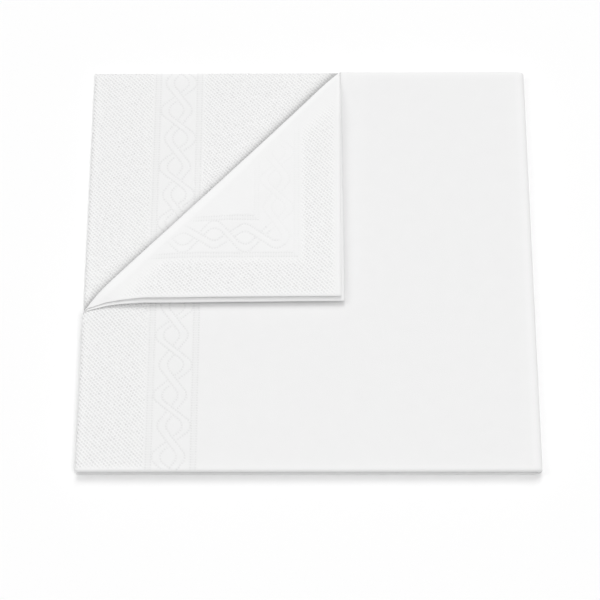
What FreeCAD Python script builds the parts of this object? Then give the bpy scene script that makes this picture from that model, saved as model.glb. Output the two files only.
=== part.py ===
import FreeCAD, Part
import math
import os

from FreeCAD import Placement, Rotation, Vector

# A paper napkin: one square sheet of soft tissue folded in half and in half again, so that
# it lies as two leaves of two layers each. The first fold runs along the front, the second
# along the right side, and the sheet's own edges are at the left and at the back. The upper
# leaf's free corner, at the back on the left, is turned over along a diagonal crease.
# Millimetres, +Z up, +X to the right, +Y to the back. The origin is under the middle.

# The folded napkin
folded_width = 165.0  # left to right, half of the sheet's 330
folded_depth = 159.0  # front to back, half of the sheet's 318
layer = 0.9  # one layer of embossed tissue, its loft included
layer_gap = 0.5  # air between the two layers of a leaf
leaf_gap = 0.7  # air between the lower and the upper leaf

# The turned corner
turned_leg = 101.6  # from the corner to the start of the crease, along either edge
crease_radius = 1.0  # inside of the bend, so the turned corner stands off the leaf by twice this
layer_show = 1.5  # what the lower turned layer shows beyond the upper one, at both edges
bend_steps = 12  # sections along each half turn of the crease

# The embossed border: a two-strand rope between two double rails
rail_inset = 25.55  # from the left edge to the middle of the outer rail, on the upper leaf
lower_rail_inset = 24.6  # the same on the lower leaf
turned_rail_inset = 16.4  # the same on the turned corner, from both of its edges
rail_spacing = 15.9  # between the middles of the outer and the inner rail
turned_rail_spacing = 14.8  # the same on the turned corner
rail_pair = 1.8  # between the two lines of a rail
turned_rail_pair = 1.5  # the same on the turned corner
line_width = 0.6  # of a pressed line
line_depth = 0.2
strand_width = 3.1  # between the two outlines of a strand
inner_swing = 3.5  # how far the tighter strand swings to each side of the border's middle
outer_swing = 5.2  # the same for the wider strand
eye_pitch = 11.5  # from one eye of the rope to the next
first_eye = 5.2  # from the front fold to the middle of the first eye
peak_radius = 3.2  # of a strand's round peaks
strand_margin = 0.5  # how far an outline stops short of the strand that crosses over it
line_start = 2.0  # how far a border begins under the crease, out of sight
fold_margin = 0.3  # flat paper between the front bend and the border

# Worked out from the above
left = -folded_width / 2
right = folded_width / 2
front = -folded_depth / 2
back = folded_depth / 2
leaf_height = 2 * layer + layer_gap
front_fold_radius = leaf_height / 2
side_fold_radius = leaf_height + leaf_gap / 2
side_fold_x = right - side_fold_radius
top = 2 * leaf_height + leaf_gap
upper_leaf_bottom = leaf_height + leaf_gap
crease_height = top + crease_radius
bend_outer = crease_radius + leaf_height
turned_top = crease_height + bend_outer
outer_path = math.pi * bend_outer
inner_path = outer_path - layer_show * math.sqrt(2)
clear = 1.0  # how far a cutting shape reaches past what it cuts

along = Vector(1, 1, 0).normalize()  # the crease's direction
outward = Vector(-1, 1, 0).normalize()  # from the crease towards the turned corner
upward = Vector(0, 0, 1)
crease_start = Vector(left, back - turned_leg, crease_height)
crease_length = turned_leg * math.sqrt(2)


def prism(corners, bottom, height):
    """A straight-sided solid over the given (x, y) corners."""
    points = [Vector(x, y, bottom) for x, y in corners]
    outline = Part.makePolygon(points + points[:1])
    return Part.Face(outline).extrude(Vector(0, 0, height))


def leaf_section(x):
    """A leaf's section across the front fold: two layers joined by a round bend."""
    bend_y = front + front_fold_radius
    middle = front_fold_radius
    inside = layer_gap / 2
    lower_outside = Part.makeLine(Vector(x, back, 0), Vector(x, bend_y, 0))
    outer_bend = Part.Arc(
        Vector(x, bend_y, 0), Vector(x, front, middle), Vector(x, bend_y, leaf_height)
    ).toShape()
    upper_outside = Part.makeLine(Vector(x, bend_y, leaf_height), Vector(x, back, leaf_height))
    upper_edge = Part.makeLine(Vector(x, back, leaf_height), Vector(x, back, leaf_height - layer))
    upper_inside = Part.makeLine(
        Vector(x, back, leaf_height - layer), Vector(x, bend_y, leaf_height - layer)
    )
    inner_bend = Part.Arc(
        Vector(x, bend_y, leaf_height - layer),
        Vector(x, bend_y - inside, middle),
        Vector(x, bend_y, layer),
    ).toShape()
    lower_inside = Part.makeLine(Vector(x, bend_y, layer), Vector(x, back, layer))
    lower_edge = Part.makeLine(Vector(x, back, layer), Vector(x, back, 0))
    edges = [
        lower_outside,
        outer_bend,
        upper_outside,
        upper_edge,
        upper_inside,
        inner_bend,
        lower_inside,
        lower_edge,
    ]
    return Part.Face(Part.Wire(edges))


def lower_leaf():
    """The two layers that lie at the bottom, up to the side fold."""
    return leaf_section(left).extrude(Vector(side_fold_x - left, 0, 0))


def side_fold():
    """All four layers round the fold at the right: the leaf's section turned half round."""
    centre = Vector(side_fold_x, 0, side_fold_radius)
    return leaf_section(side_fold_x).revolve(centre, Vector(0, -1, 0), 180)


def upper_leaf():
    """The lower leaf's mirror image above it, without the corner that is turned over."""
    whole = lower_leaf().mirror(Vector(0, 0, side_fold_radius), upward)
    corner = [
        (left - clear, back - turned_leg - clear),
        (left + turned_leg + clear, back + clear),
        (left - clear, back + clear),
    ]
    turned = prism(corner, upper_leaf_bottom - leaf_gap / 2, leaf_height + leaf_gap)
    return whole.cut(turned)


def crease_point(distance, radius, angle):
    """A point of the bend: its distance along the crease, its radius and how far it has turned."""
    radial = outward * math.sin(angle) - upward * math.cos(angle)
    return crease_start + along * distance + radial * radius


def half_ring(inner_radius):
    """A layer's half turn over the whole crease, with square ends."""
    corners = [
        crease_point(0, inner_radius, 0),
        crease_point(crease_length, inner_radius, 0),
        crease_point(crease_length, inner_radius + layer, 0),
        crease_point(0, inner_radius + layer, 0),
    ]
    section = Part.Face(Part.makePolygon(corners + corners[:1]))
    return section.revolve(crease_start, along, 180)


def beyond_edge(inner_radius, path, end):
    """The space past the sheet's edge at one end of the crease, as wide as the bend is thick."""
    sections = []
    for step in range(-1, bend_steps + 2):
        angle = math.pi * step / bend_steps
        advance = path * step / bend_steps
        limits = [-path, advance]
        if end:
            limits = [crease_length + path, crease_length - advance]
        outside, edge = limits
        corners = [
            crease_point(outside, inner_radius / 2, angle),
            crease_point(edge, inner_radius / 2, angle),
            crease_point(edge, inner_radius + layer + clear, angle),
            crease_point(outside, inner_radius + layer + clear, angle),
        ]
        sections.append(Part.makePolygon(corners + corners[:1]))
    return Part.makeLoft(sections, True, False)


def corner_bend(inner_radius, path):
    """One layer's half turn over the crease, from the leaf up to the turned corner.

    The sheet's two edges meet the crease aslant, so as the layer turns, each of its ends
    moves along the crease by the length of paper that has gone round: a steep helix.
    """
    past_edges = [beyond_edge(inner_radius, path, end) for end in (False, True)]
    return half_ring(inner_radius).cut(past_edges)


def turned_triangle(path):
    """The (x, y) corners of a turned layer: both ends of its crease, then its own corner."""
    begin = crease_point(path, 0, 0)
    end = crease_point(crease_length - path, 0, 0)
    return [(begin.x, begin.y), (end.x, begin.y), (end.x, end.y)]


def turned_corner():
    """The two layers that lie on the leaf, upside down, with their bends over the crease."""
    inner = crease_radius
    outer = crease_radius + layer + layer_gap
    return [
        corner_bend(inner, inner_path),
        corner_bend(outer, outer_path),
        prism(turned_triangle(inner_path), crease_height + inner, layer),
        prism(turned_triangle(outer_path), crease_height + outer, layer),
    ]


def straight_line(start, end, offset):
    """A pressed line that runs straight along the border, as a solid to take away."""
    corner = Vector(start, offset - line_width / 2, -line_depth)
    return Part.makeBox(end - start, line_width, line_depth, corner)


def rails(start, end, spacing, pair):
    """The two double rails of a border, on both sides of its middle line."""
    return [
        straight_line(start, end, side * spacing / 2 + line * pair / 2)
        for side in (-1, 1)
        for line in (-1, 1)
    ]


def strand_angle(swing):
    """The slope at which a strand crosses the middle line, from its swing and peak radius."""
    half = eye_pitch / 2
    rise = swing - peak_radius
    return math.asin(peak_radius / math.hypot(half, rise)) + math.atan2(rise, half)


def wave(swing, side, offset, shift, lobes):
    """One side of an outline: round peaks that alternate, joined by straight diagonals."""
    angle = strand_angle(swing)
    edges = []
    before = None
    for lobe in lobes:
        sign = side * (-1) ** lobe
        radius = peak_radius + sign * shift
        centre = Vector(lobe * eye_pitch, offset + sign * (swing - peak_radius), 0)
        rise = sign * radius * math.cos(angle)
        begin = centre + Vector(-radius * math.sin(angle), rise, 0)
        end = centre + Vector(radius * math.sin(angle), rise, 0)
        if before:
            edges.append(Part.makeLine(before, begin))
        edges.append(Part.Arc(begin, centre + Vector(0, sign * radius, 0), end).toShape())
        before = end
    return edges


def outline(swing, side, offset, lobes):
    """A pressed line along one edge of a strand."""
    upper = wave(swing, side, offset, line_width / 2, lobes)
    lower = wave(swing, side, offset, -line_width / 2, lobes)
    begin = Part.makeLine(upper[0].firstVertex().Point, lower[0].firstVertex().Point)
    end = Part.makeLine(upper[-1].lastVertex().Point, lower[-1].lastVertex().Point)
    edges = Part.sortEdges(upper + lower + [begin, end])[0]
    return Part.Face(Part.Wire(edges)).extrude(Vector(0, 0, -line_depth))


def cover(crossing, over_swing, hand):
    """The width of the strand that lies on top where two strands cross, and a little more."""
    reach = strand_width / 2 + strand_margin
    run = eye_pitch / 4
    rise = hand * run * math.tan(strand_angle(over_swing))
    corners = [
        (crossing - run, -rise - reach),
        (crossing + run, rise - reach),
        (crossing + run, rise + reach),
        (crossing - run, -rise + reach),
    ]
    return prism(corners, -2 * line_depth, 3 * line_depth)


def strand(swing, other_swing, side, hand, lobes):
    """A strand's two outlines, broken where the other strand lies on top."""
    dives = [lobe + 0.5 for lobe in lobes if side * (-1) ** lobe == hand]
    covers = [cover(dive * eye_pitch, other_swing, hand) for dive in dives]
    edges = (-strand_width / 2, strand_width / 2)
    return [outline(swing, side, offset, lobes).cut(covers) for offset in edges]


def rope(start, end, hand):
    """Two strands that swing across each other, the one that rises to the hand side on top."""
    lobes = range(math.floor(start / eye_pitch) - 1, math.ceil(end / eye_pitch) + 2)
    tight = strand(inner_swing, outer_swing, -hand, hand, lobes)
    wide = strand(outer_swing, inner_swing, hand, hand, lobes)
    return tight + wide


def border(start, end, spacing, pair, hand):
    """A border along +X, pressed down from the height of 0, with an eye of its rope at 0."""
    return rails(start, end, spacing, pair) + rope(start, end, hand)


def placed(shapes, position, turn):
    """The shapes moved to a position after a turn about the vertical."""
    move = Placement(position, Rotation(upward, turn))
    for shape in shapes:
        shape.Placement = move.multiply(shape.Placement)
    return shapes


def inside(shapes, region):
    """What of the shapes lies within a region, without those that miss it."""
    kept = [shape.common(region) for shape in shapes]
    return [shape for shape in kept if shape.Volume > 0]


def upper_leaf_border():
    """The border beside the left edge of the upper leaf, from the front bend to the crease."""
    flat_front = front + front_fold_radius + fold_margin
    eye = Vector(left + rail_inset + rail_spacing / 2, front + first_eye, top)
    lines = placed(border(-first_eye, folded_depth, rail_spacing, rail_pair, 1), eye, 90)
    open_part = [
        (left, flat_front),
        (left + turned_leg, flat_front),
        (left + turned_leg, back),
        (left, back - turned_leg),
    ]
    return inside(lines, prism(open_part, top - clear, 2 * clear))


def lower_leaf_border():
    """The border of the layer that the turned corner uncovers, up to the back edge."""
    eye = Vector(left + lower_rail_inset + rail_spacing / 2, front + first_eye, leaf_height)
    lines = placed(border(-first_eye, folded_depth, rail_spacing, rail_pair, 1), eye, 90)
    hidden = line_start * math.sqrt(2)
    uncovered = [
        (left, back - turned_leg - hidden),
        (left + turned_leg + hidden, back),
        (left, back),
    ]
    return inside(lines, prism(uncovered, leaf_height - layer / 2, layer))


def underside_rails():
    """The two double rails on the underside, from the front fold to the back edge."""
    middle = Vector(left + lower_rail_inset + rail_spacing / 2, front + front_fold_radius, line_depth)
    return placed(rails(0, folded_depth, rail_spacing, rail_pair), middle, 90)


def turned_border():
    """The border on the turned corner: along its front edge, then up beside its right edge."""
    (begin_x, edge_y), (edge_x, _), (_, end_y) = turned_triangle(outer_path)
    spacing = turned_rail_spacing
    pair = turned_rail_pair
    inset = turned_rail_inset + spacing / 2
    middle = Vector(edge_x - inset, edge_y + inset, turned_top)
    half = (spacing + pair + line_width) / 2
    across = placed(border(-half, middle.x - begin_x, spacing, pair, -1), middle, 180)
    up = placed(border(-half, end_y - middle.y, spacing, pair, 1), middle, 90)
    outer_corner = (middle.x + half, middle.y - half)
    inner_corner = (middle.x - half, middle.y + half)
    across_part = [(begin_x, middle.y - half), outer_corner, inner_corner, (begin_x, middle.y + half)]
    up_part = [outer_corner, (middle.x + half, end_y), (middle.x - half, end_y), inner_corner]
    low = turned_top - clear
    lines = inside(across, prism(across_part, low, 2 * clear))
    lines += inside(up, prism(up_part, low, 2 * clear))
    return inside(lines, prism(turned_triangle(outer_path), low, 2 * clear))


def napkin():
    """The whole folded sheet as one solid."""
    folded = lower_leaf().fuse([side_fold(), upper_leaf(), *turned_corner()]).removeSplitter()
    lines = upper_leaf_border() + lower_leaf_border() + turned_border() + underside_rails()
    return folded.cut(lines)


def main():
    os.makedirs("parts", exist_ok=True)
    shape = napkin()
    solid = shape.Solids[0]
    solid.exportStep("parts/napkin.step")


main()
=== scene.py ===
"""A folded paper napkin with one corner turned over, on a plain white floor."""

import logging
import math
from dataclasses import dataclass, field
from enum import Enum
from typing import Any, Dict, List, Optional, Sequence, Tuple, Union

import bpy
import numpy as np
from mathutils import Matrix, Vector
from mathutils.geometry import delaunay_2d_cdt
from mathutils.kdtree import KDTree


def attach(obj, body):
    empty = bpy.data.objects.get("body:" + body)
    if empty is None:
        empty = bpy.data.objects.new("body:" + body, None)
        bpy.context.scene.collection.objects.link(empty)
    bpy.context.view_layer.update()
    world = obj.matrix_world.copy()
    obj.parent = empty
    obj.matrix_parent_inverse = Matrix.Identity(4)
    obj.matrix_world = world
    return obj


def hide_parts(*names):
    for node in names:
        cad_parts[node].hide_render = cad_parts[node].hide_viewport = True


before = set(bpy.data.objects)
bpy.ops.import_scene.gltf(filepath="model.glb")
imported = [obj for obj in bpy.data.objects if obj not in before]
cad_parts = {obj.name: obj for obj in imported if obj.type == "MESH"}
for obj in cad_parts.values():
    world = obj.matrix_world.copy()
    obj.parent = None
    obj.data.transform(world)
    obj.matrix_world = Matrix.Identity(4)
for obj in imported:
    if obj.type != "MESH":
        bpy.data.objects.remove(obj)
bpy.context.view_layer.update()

logging.basicConfig(level=logging.INFO, format="%(message)s")
LOG = logging.getLogger("napkin")

MM = 0.001
UV_UNIT = 100.0  # millimetres in one unit of the sheet's UV map
SHEET_UV = "Sheet"
EMBOSS = "emboss"  # point attribute: how strong the small embossed rows are
HIGHLIGHT = "fold"  # point attribute: painted highlight, strongest by a fold, the crease or an edge, and on the turned corner
PAINTED_SHADE = "pressed"  # point attribute: painted shade, darkest in the border's dots, on the leaf under the crease and between the leaves at the front
NODE = "napkin"
ROOT_2 = math.sqrt(2)
MERGE_ROOM = 1e-7  # millimetres within which the triangulation joins two points
WHITE = (1.0, 1.0, 1.0, 1.0)

Array = np.ndarray
Pair = Tuple[np.ndarray, np.ndarray]
Colour = Tuple[float, float, float, float]
Groups = Sequence[Tuple[np.ndarray, float]]


def ramp(value: Array, length: float = 1.0) -> Array:
    """A straight rise from 0 to 1 over a length, level before and after it."""
    return np.clip(value / length, 0, 1)


def ease(share: Array) -> Array:
    """A smooth rise from 0 to 1, level before and after it."""
    held = np.clip(share, 0, 1)
    return held * held * (3 - 2 * held)


def fade(distance: Array, length: float) -> Array:
    """A fall from 1 towards 0 that begins where the distance is 0."""
    return np.exp(-np.maximum(distance, 0) / length)


def pit(distance: Array, width: float) -> Array:
    """The section of a round pit, 1 at its middle."""
    return np.exp(-((distance / width) ** 2))


def grid(first: Array, second: Array) -> Array:
    """Every pairing of two rows of numbers, one to a row."""
    return np.stack(np.meshgrid(first, second), axis=-1).reshape(-1, 2)


class Face(Enum):
    """The four flat faces that the sheet's outer side makes, from the bottom up."""

    UNDERSIDE = 0
    LOWER_TOP = 1
    UPPER_UNDERSIDE = 2
    TOP = 3


@dataclass
class Folds:
    """How the sheet is folded, in millimetres.

    The sheet is laid out with `across` from 0 to its width and `down` from 0 to its depth.
    `down` goes from the back edge of the outer layer to the front fold and back again in the
    inner layer, and `across` from the left edge round the side fold to the left edge again.
    """

    width: float = 165.0
    depth: float = 159.0
    flat_width: float = 330.0
    flat_depth: float = 318.0
    layer: float = 0.9
    layer_gap: float = 0.5
    leaf_gap: float = 0.7
    turned_leg: float = 101.6
    crease_radius: float = 1.0
    layer_show: float = 1.5
    crease_press: float = 0.45  # what pressing leaves of the turned corner's height at the crease
    crease_square: float = 0.5  # how far the bend's upper half is squared, 1 leaving it round
    crease_hollow: float = 2.0  # how far its lower half is hollowed, 1 leaving it round
    crease_rise: float = 14.0  # from the crease to where the corner has its full height
    crease_lift: float = 1.3  # how far the crease springs up from the leaf under it
    lift_length: float = 22.0  # from the crease to where the upper leaf lies flat again
    back_shift: float = 1.3  # how far the lower leaf's back edge looks out
    shift_start: float = 30.0  # the y where it begins to come out
    shift_right: float = 70.0  # the x to the right of which it doesn't
    shift_length: float = 50.0  # over which it comes out, leftwards from there
    tip_length: float = 15.0  # over which the corner's height dwindles towards the crease's ends
    tip_least: float = 0.12
    bend_places: Tuple[float, ...] = (0.0, 5.0, 10.0, 20.0, 40.0, 70.0, 100.0, 122.0, 143.7)
    bend_shares: Tuple[float, ...] = (0.12, 0.38, 0.62, 0.86, 0.9, 0.82, 0.62, 0.36, 0.12)
    hold_places: Tuple[float, ...] = (0.0, 10.0, 20.0, 40.0, 60.0)
    hold_shares: Tuple[float, ...] = (0.2, 0.35, 0.4, 0.8, 1.0)

    def __post_init__(self) -> None:
        """Works out the places of the folds from the sizes."""
        self.left = -self.width / 2
        self.front = -self.depth / 2
        self.back = self.depth / 2
        self.leaf_height = 2 * self.layer + self.layer_gap
        self.front_radius = self.leaf_height / 2
        self.side_radius = self.leaf_height + self.leaf_gap / 2
        self.side_x = self.width / 2 - self.side_radius
        self.front_y = self.front + self.front_radius
        self.top = 2 * self.leaf_height + self.leaf_gap
        self.run_across = self.side_x - self.left
        self.bend_across = self.flat_width - 2 * self.run_across
        self.run_down = self.back - self.front_y
        self.bend_down = self.flat_depth - 2 * self.run_down
        self.crease_height = self.top + self.crease_radius
        self.bend_outer = self.crease_radius + self.leaf_height
        self.outer_path = math.pi * self.bend_outer
        self.inner_path = self.outer_path - self.layer_show * ROOT_2
        self.crease_x = self.left
        self.crease_y = self.back - self.turned_leg
        self.crease_length = self.turned_leg * ROOT_2

    def crease_frame(self, x: Array, y: Array) -> Pair:
        """Places points by the crease.

        Args:
            x: The points' x.
            y: The points' y.

        Returns:
            How far along the crease each point is, and how far beyond it towards the corner.
        """
        dx, dy = x - self.crease_x, y - self.crease_y
        return (dx + dy) / ROOT_2, (dy - dx) / ROOT_2

    def from_crease(self, along: Array, beyond: Array) -> Pair:
        """The opposite of `crease_frame`: the x and y of points placed by the crease."""
        x = self.crease_x + (along - beyond) / ROOT_2
        return x, self.crease_y + (along + beyond) / ROOT_2

    def turn_over(self, x: Array, y: Array) -> Pair:
        """Where points of the upper leaf's underside lie once turned over, and the opposite."""
        along, beyond = self.crease_frame(x, y)
        return self.from_crease(along, self.outer_path - beyond)

    def zone(self, across: Array, down: Array) -> Array:
        """Tells which face each point of the outer side belongs to.

        Args:
            across: The points' places across the sheet.
            down: Their places down the sheet.

        Returns:
            The values of `Face`, one for each point.
        """
        upper = across > self.flat_width / 2
        inner = down > self.flat_depth / 2
        lower_face = np.where(inner, Face.LOWER_TOP.value, Face.UNDERSIDE.value)
        upper_face = np.where(inner, Face.UPPER_UNDERSIDE.value, Face.TOP.value)
        return np.where(upper, upper_face, lower_face)

    def from_edge(self, across: Array, down: Array) -> Array:
        """How far points of the laid-out sheet are from its nearest edge."""
        beside = np.minimum(across, self.flat_width - across)
        return np.minimum(beside, np.minimum(down, self.flat_depth - down))

    def flat_place(self, across: Array, down: Array) -> Pair:
        """Where points lie once both folds are made, before the corner is turned over.

        Round a fold the places run on past the flat part, by the length of the outer side.

        Args:
            across: The points' places across the sheet.
            down: Their places down the sheet.

        Returns:
            Their x and y.
        """
        stretch_across = math.pi * self.side_radius / self.bend_across
        stretch_down = math.pi * self.front_radius / self.bend_down
        a = np.minimum(across, self.flat_width - across)
        b = np.minimum(down, self.flat_depth - down)
        past_a = stretch_across * np.maximum(a - self.run_across, 0)
        past_b = stretch_down * np.maximum(b - self.run_down, 0)
        x = self.left + np.minimum(a, self.run_across) + past_a
        return x, self.back - np.minimum(b, self.run_down) - past_b

    def laid(self, across: Array, down: Array, zone: Array) -> Pair:
        """Where points lie in the finished napkin, seen from above, for what is printed on it.

        Args:
            across: The points' places across the sheet.
            down: Their places down the sheet.
            zone: The face that each belongs to.

        Returns:
            Their x and y.
        """
        x, y = self.flat_place(across, down)
        beyond = self.crease_frame(x, y)[1]
        turned = (zone == Face.UPPER_UNDERSIDE.value) & (beyond > -self.bend_outer)
        turned_x, turned_y = self.turn_over(x, y)
        return np.where(turned, turned_x, x), np.where(turned, turned_y, y)

    def unfold(self, face: Face, x: Array, y: Array) -> Pair:
        """The opposite of `laid` on the flat parts of one face.

        Args:
            face: The face.
            x: The points' x in the finished napkin.
            y: Their y.

        Returns:
            Their places across and down the sheet.
        """
        if face is Face.UPPER_UNDERSIDE:
            x, y = self.turn_over(x, y)
        across, down = x - self.left, self.back - y
        if face in (Face.UPPER_UNDERSIDE, Face.TOP):
            across = self.flat_width - across
        if face in (Face.LOWER_TOP, Face.UPPER_UNDERSIDE):
            down = self.flat_depth - down
        return across, down

    def place(self, across: Array, down: Array, depth: Array) -> Array:
        """Folds points of the sheet to their places in space.

        Args:
            across: The points' places across the sheet.
            down: Their places down the sheet.
            depth: How far under the sheet's outer side they are.

        Returns:
            Their x, y and z, one row each.
        """
        out, height = self.round_fold(
            down, self.run_down, self.bend_down, self.front_radius, depth
        )
        y = self.front_y + out
        out, z = self.round_fold(
            across, self.run_across, self.bend_across, self.side_radius, height
        )
        x = self.side_x - out
        upper = across > self.flat_width / 2
        corner = self.turned_corner(x, y, z, down > self.flat_depth / 2)
        leaf = (x, y + self.slack(x, y), z)
        return np.stack([np.where(upper, high, low) for high, low in zip(corner, leaf)], axis=1)

    @staticmethod
    def round_fold(place: Array, run: float, bend: float, radius: float, depth: Array) -> Pair:
        """Takes points round one straight fold.

        Args:
            place: Their places across or down the sheet.
            run: Where the bend begins.
            bend: How much of the sheet is in it.
            radius: Its outer radius.
            depth: How far under the outermost side the points are.

        Returns:
            How far each is from the line where the bend begins, and its height.
        """
        turn = ramp(place - run, bend) * math.pi
        reach = radius - depth
        away = np.maximum(run - place, 0) + np.maximum(place - run - bend, 0)
        return away - reach * np.sin(turn), radius - reach * np.cos(turn)

    def turned_corner(
        self, x: Array, y: Array, z: Array, inner: Array
    ) -> Tuple[Array, Array, Array]:
        """Turns the upper leaf's corner over, and lifts the leaf beside the crease.

        Args:
            x: The points' x before the corner is turned.
            y: The same for y.
            z: The same for z.
            inner: True for points of the leaf's lower layer, which is outside in the crease.

        Returns:
            Their new x, y and z.
        """
        along, beyond = self.crease_frame(x, y)
        begin, length = self.bend_span(along)
        beyond = beyond - begin
        path = np.where(inner, length, length * self.inner_path / self.outer_path)
        turn = ramp(beyond, path) * math.pi
        radius = self.crease_height - z
        inland = np.maximum(beyond - path, 0)
        form = np.where(turn < math.pi / 2, self.crease_hollow, self.crease_square)
        out = begin + length / self.outer_path * radius * np.sin(turn) ** form - inland
        turned_x, turned_y = self.from_crease(along, out)
        rise = self.crease_press + (1 - self.crease_press) * ease(inland / self.crease_rise)
        above = self.crease_height - radius * np.cos(turn) - self.top
        above = np.where(above > 0, above * self.tip_share(along) * rise, above)
        bent = beyond > 0
        away = np.where(bent, inland, -beyond)
        lift = self.crease_lift * self.tip_share(along) * (1 - ease(away / self.lift_length))
        x, y = np.where(bent, turned_x, x), np.where(bent, turned_y, y)
        return x, y, np.where(bent, self.top + above, z) + lift

    def slack(self, x: Array, y: Array) -> Array:
        """How far points of the lower leaf come out towards the back."""
        backwards = ease((y - self.shift_start) / (self.back - self.shift_start))
        return self.back_shift * backwards * ease((self.shift_right - x) / self.shift_length)

    def bend_span(self, along: Array) -> Pair:
        """Where the crease's bend begins and how long it is, at places along the crease.

        Towards the ends the bend is tighter, and begins farther out, so that the turned
        corner stays where it is.

        Args:
            along: Distances along the crease.

        Returns:
            Where the bend begins, beyond the crease, and the outer layer's length round it.
        """
        length = self.outer_path * np.interp(along, self.bend_places, self.bend_shares)
        hold = np.interp(along, self.hold_places, self.hold_shares)
        return hold * (self.outer_path - length) / 2, length

    def crease_reach(self, along: Array) -> Array:
        """How far beyond the crease's own line its bend reaches, at places along it."""
        begin, length = self.bend_span(along)
        return begin + length / self.outer_path * self.bend_outer

    def tip_share(self, along: Array) -> Array:
        """How much of its full height the turned corner has at places along the crease."""
        room = np.minimum(along, self.crease_length - along)
        return self.tip_least + (1 - self.tip_least) * ease(room / self.tip_length)


@dataclass
class Border:
    """One straight stretch of the embossed border, in millimetres.

    Its own coordinates are `u` along it and `v` across it, with an eye of the rope at 0.
    """

    middle_x: float
    middle_y: float
    sideways: bool  # runs towards -x instead of towards +y
    start: float  # the u where it begins
    end: float  # the u where it ends
    pair: float  # between the two lines of a double rail
    hand: int  # 1, or -1 for the mirror image
    rope_wanted: bool = True
    rail_spacing: float = 15.9
    rail_pitch: float = 0.96
    dot_pitch: float = 1.0
    strand_width: float = 3.1
    inner_swing: float = 3.5
    outer_swing: float = 5.2
    eye_pitch: float = 11.5
    peak_radius: float = 3.2
    strand_margin: float = 0.5
    side_room: float = 1.2
    trace_step: float = 0.02  # between the places at which a strand's edge is worked out

    def to_own(self, x: Array, y: Array) -> Pair:
        """Turns places in the napkin into the border's own.

        Args:
            x: The points' x.
            y: Their y.

        Returns:
            Their u and v.
        """
        if self.sideways:
            return self.middle_x - x, self.middle_y - y
        return y - self.middle_y, self.middle_x - x

    def to_napkin(self, u: Array, v: Array) -> Pair:
        """The opposite of `to_own`.

        Args:
            u: The points' u.
            v: Their v.

        Returns:
            Their x and y.
        """
        if self.sideways:
            return self.middle_x - u, self.middle_y - v
        return self.middle_x - v, self.middle_y + u

    @property
    def rail_lines(self) -> List[float]:
        """The v of the four lines of the two double rails."""
        half = self.rail_spacing / 2
        return [side * half + line * self.pair / 2 for side in (-1, 1) for line in (-1, 1)]

    @property
    def half_width(self) -> float:
        """From the middle to the outermost line."""
        return (self.rail_spacing + self.pair) / 2

    def columns(self, step: float) -> Array:
        """The v of the columns of a fine mesh, with one on every line of the rails.

        Args:
            step: The rough distance between columns.

        Returns:
            The columns' v.
        """
        stops = [-self.half_width - self.side_room, *sorted(self.rail_lines)]
        stops.append(self.half_width + self.side_room)
        found = []
        for low, high in zip(stops[:-1], stops[1:]):
            count = max(1, round((high - low) / step))
            found.append(np.linspace(low, high, count + 1)[:-1])
        return np.concatenate(found + [np.array([stops[-1]])])

    def rows(self, steps_per_dot: int) -> Array:
        """The u of the rows of a fine mesh, with one on every dot of the rails."""
        step = self.rail_pitch / steps_per_dot
        return np.arange(math.ceil(self.start / step), math.floor(self.end / step) + 1) * step

    def slope(self, swing: float) -> float:
        """The angle, in radians, at which a strand with this swing crosses the middle line."""
        half, rise = self.eye_pitch / 2, swing - self.peak_radius
        return math.asin(self.peak_radius / math.hypot(half, rise)) + math.atan2(rise, half)

    def wave(self, u: Array, swing: float, side: int) -> Array:
        """The middle line of a strand.

        Args:
            u: Places along the border.
            swing: How far the strand swings to each side.
            side: The side on which its lobe at 0 is.

        Returns:
            The strand's v at each place.
        """
        lobe = np.round(u / self.eye_pitch)
        away = np.abs(u - lobe * self.eye_pitch)
        sign = side * np.where(lobe % 2 == 0, 1, -1)
        angle = self.slope(swing)
        round_part = away < self.peak_radius * math.sin(angle)
        arc = swing - self.peak_radius + np.sqrt(np.maximum(self.peak_radius**2 - away**2, 0))
        straight = (self.eye_pitch / 2 - away) * math.tan(angle)
        return sign * np.where(round_part, arc, straight)

    def outline(
        self, swing: float, other: float, side: int, offset: float, pitch: float
    ) -> Array:
        """Points along one edge of a strand, without those that the other strand covers.

        Args:
            swing: How far the strand swings to each side.
            other: The same for the other strand.
            side: The side on which its lobe at 0 is.
            offset: From the strand's middle line to this edge.
            pitch: The distance between points.

        Returns:
            The points' u and v, one row each.
        """
        u = np.arange(self.start, self.end, self.trace_step)
        v = self.wave(u, swing, side) + offset
        length = np.concatenate([[0], np.cumsum(np.hypot(np.diff(u), np.diff(v)))])
        marks = np.arange(pitch / 2, length[-1], pitch)
        u, v = np.interp(marks, length, u), np.interp(marks, length, v)
        dive = np.round(u / self.eye_pitch - 0.5)
        from_dive = u - (dive + 0.5) * self.eye_pitch
        under = side * np.where(dive % 2 == 0, 1, -1) == self.hand
        over = self.hand * from_dive * math.tan(self.slope(other))
        covered = (
            under
            & (np.abs(from_dive) < self.eye_pitch / 4)
            & (np.abs(v - over) < self.strand_width / 2 + self.strand_margin)
        )
        return np.stack([u, v], axis=1)[~covered]

    def rope(self, pitch: float) -> Array:
        """Points along the outlines of both strands.

        Args:
            pitch: The distance between points.

        Returns:
            The points' u and v, one row each.
        """
        strands = (
            (self.inner_swing, self.outer_swing, -self.hand),
            (self.outer_swing, self.inner_swing, self.hand),
        )
        edges = (-self.strand_width / 2, self.strand_width / 2)
        return np.concatenate(
            [self.outline(*strand, edge, pitch) for strand in strands for edge in edges]
        )


def near(points: Array, tree: KDTree) -> Array:
    """How far each flat point is from the nearest in a tree."""
    return np.array([tree.find((x, y, 0))[2] for x, y in points])


def tree_of(points: Array) -> KDTree:
    """Makes a balanced tree of flat points.

    Args:
        points: Rows of two coordinates.

    Returns:
        The tree.
    """
    tree = KDTree(len(points))
    for index, (x, y) in enumerate(points):
        tree.insert((x, y, 0), index)
    tree.balance()
    return tree


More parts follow.
